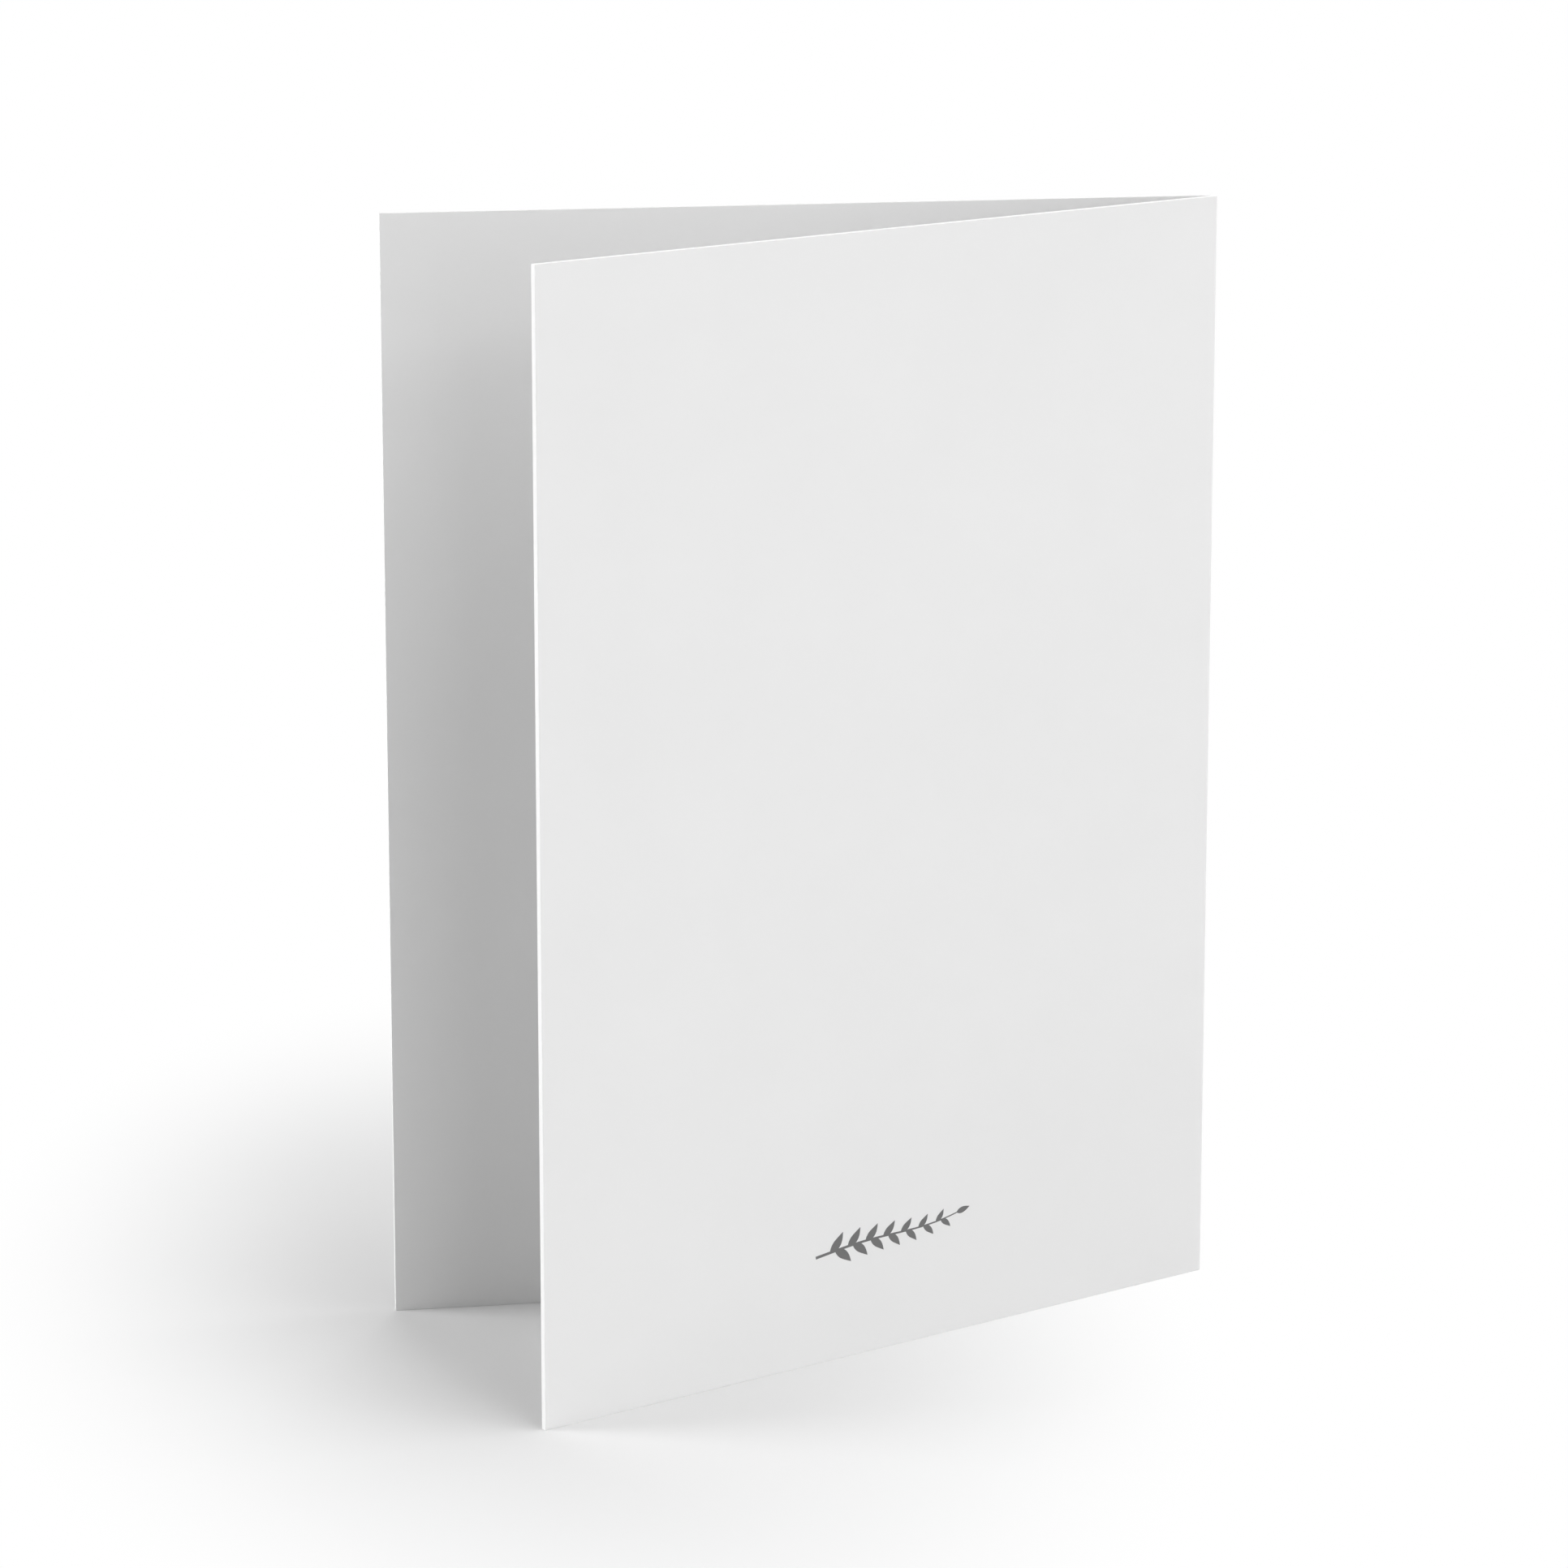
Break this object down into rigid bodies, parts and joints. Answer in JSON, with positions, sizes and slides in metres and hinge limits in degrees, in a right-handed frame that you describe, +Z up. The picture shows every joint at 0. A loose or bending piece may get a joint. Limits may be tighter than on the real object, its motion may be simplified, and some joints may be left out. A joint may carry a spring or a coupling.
{
  "type": "greeting card",
  "caption": "Plain white greeting card of thick stock, folded along one side and standing upright, slightly open.",
  "frame": {"origin": "centre of the footprint, on the surface that the card stands on", "axes": "+Z up along the fold; +X towards the fold, so the two panels open towards -X; the back panel is on the -Y side and the front cover on the +Y side"},
  "size_m": [0.111, 0.0566, 0.1524],
  "materials": {
    "card_stock": "matt"
  },
  "bodies": {
    "root": {"folded_card": "card_stock"}
  },
  "joints": []
}
